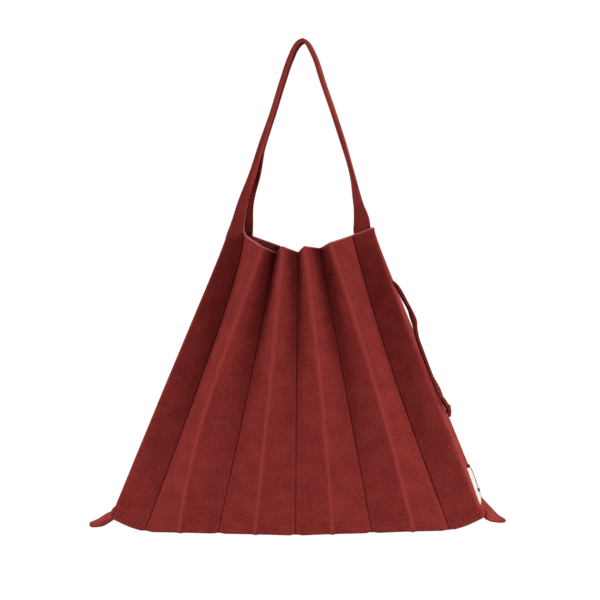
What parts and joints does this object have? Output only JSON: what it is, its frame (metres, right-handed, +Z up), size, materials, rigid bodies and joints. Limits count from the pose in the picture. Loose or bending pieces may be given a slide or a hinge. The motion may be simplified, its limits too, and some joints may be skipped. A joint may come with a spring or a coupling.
{
  "type": "pleated knit bag",
  "caption": "Knit shoulder bag with accordion-pleated front and back, a one-piece folded strap, tongues at the base ends and a knotted side tie, hanging from its strap.",
  "frame": {"origin": "underside of the strap at its top, where a hook or hand holds the bag", "axes": "+Z up along the hanging bag, -Y towards the front, +X to the right seen from the front"},
  "size_m": [0.4828, 0.1348, 0.5667],
  "materials": {
    "knit_red": "fine flat-bed knit, brick red, matte",
    "tie_cord": "soft knitted cord, dark red, matte",
    "woven_label": "cream woven tape, left blank"
  },
  "bodies": {
    "root": {"front_panel": "knit_red", "back_panel": "knit_red", "left_side": "knit_red", "right_side": "knit_red", "base": "knit_red", "left_ear": "knit_red", "right_ear": "knit_red", "strap": "knit_red", "side_tie": "tie_cord", "tie_return": "tie_cord", "tie_knot": "tie_cord", "side_label": "woven_label"}
  },
  "joints": []
}
